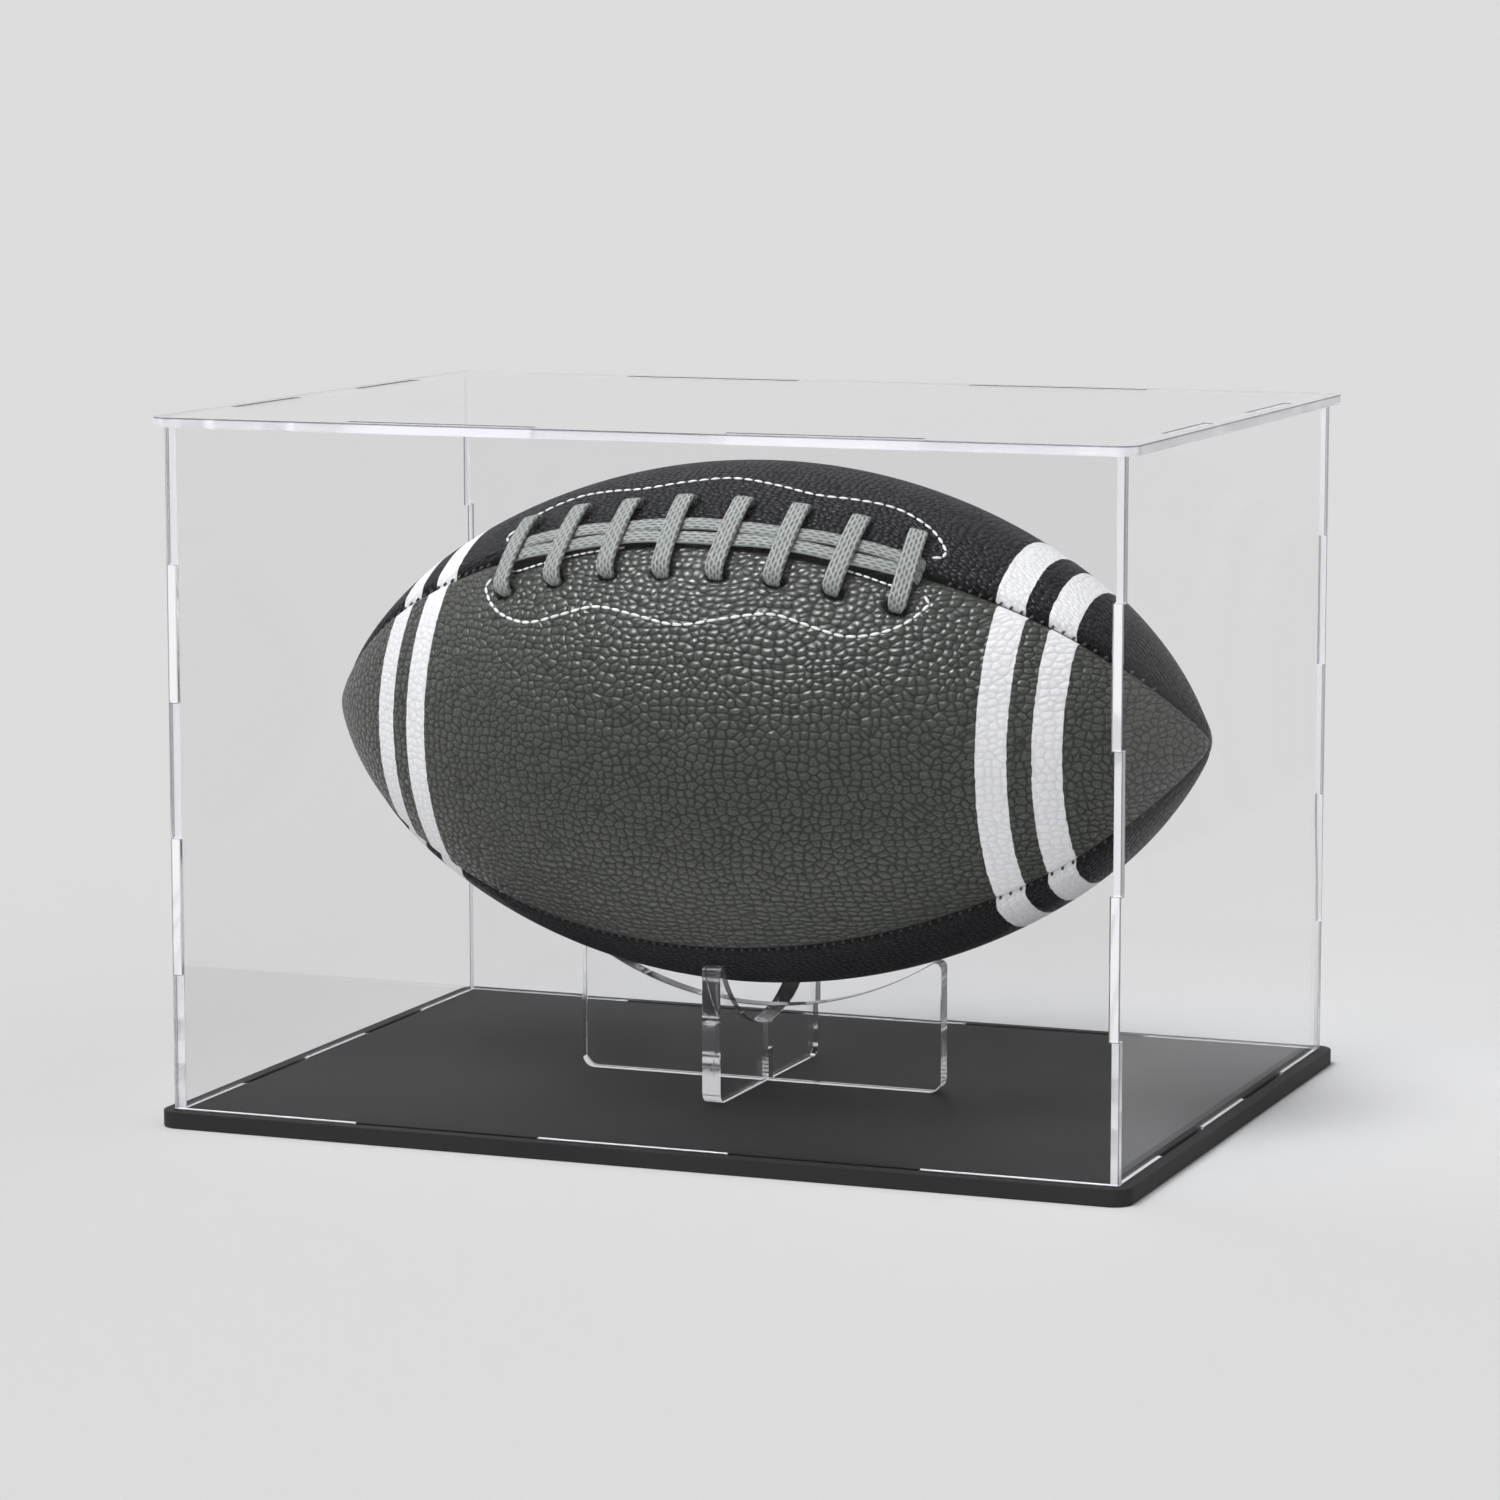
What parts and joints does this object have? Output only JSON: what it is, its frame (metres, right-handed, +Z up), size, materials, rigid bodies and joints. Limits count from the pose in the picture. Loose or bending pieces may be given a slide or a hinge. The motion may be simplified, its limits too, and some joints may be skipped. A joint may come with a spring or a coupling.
{
  "type": "football display case",
  "caption": "Clear box display case of slotted flat panels on a black base plate, with lift-off cover and lid, a cross-halved cradle stand and a laced leather football.",
  "frame": {"origin": "centre of the base plate's underside, on the surface the case stands on", "axes": "+X to the right along the case's long side, +Y from the front wall to the back wall, +Z up"},
  "size_m": [0.308, 0.228, 0.2161],
  "materials": {
    "clear_acrylic": "clear, polished faces and bright cut edges",
    "black_acrylic": "gloss black",
    "grey_leather": "pebbled, satin, with two printed white stripes near each end",
    "dark_leather": "fine grain, satin, with two printed white stripes near each end",
    "lining_cloth": "plain weave",
    "lace_webbing": "flat woven lace",
    "bladder_rubber": "smooth",
    "valve_rubber": "smooth"
  },
  "bodies": {
    "base": {"base_plate": "black_acrylic"},
    "cover": {"front_wall": "clear_acrylic", "back_wall": "clear_acrylic", "left_wall": "clear_acrylic", "right_wall": "clear_acrylic"},
    "lid": {"lid_plate": "clear_acrylic"},
    "stand": {"stand_long_plate": "clear_acrylic", "stand_cross_plate": "clear_acrylic"},
    "football": {"ball_front_panel": "grey_leather", "ball_back_panel": "grey_leather", "ball_top_panel": "dark_leather", "ball_bottom_panel": "dark_leather", "ball_front_lining": "lining_cloth", "ball_back_lining": "lining_cloth", "ball_top_lining": "lining_cloth", "ball_bottom_lining": "lining_cloth", "lace_facing_upper": "lining_cloth", "lace_facing_lower": "lining_cloth", "lace_loops": "lace_webbing", "lace_strand_upper": "lace_webbing", "lace_strand_lower": "lace_webbing", "ball_bladder": "bladder_rubber", "ball_valve": "valve_rubber"}
  },
  "joints": [
    {"name": "cover_lift", "type": "slide", "parent": "base", "child": "cover", "axis": [0, 0, 1], "range_m": [0, 0.24]},
    {"name": "lid_lift", "type": "slide", "parent": "cover", "child": "lid", "axis": [0, 0, 1], "range_m": [0, 0.08]},
    {"name": "stand_lift", "type": "slide", "parent": "base", "child": "stand", "axis": [0, 0, 1], "range_m": [0, 0.01]},
    {"name": "ball_turn", "type": "hinge", "parent": "stand", "child": "football", "pos_m": [0, 0, 0.118], "axis": [1, 0, 0], "range_deg": [-150, 75]}
  ]
}
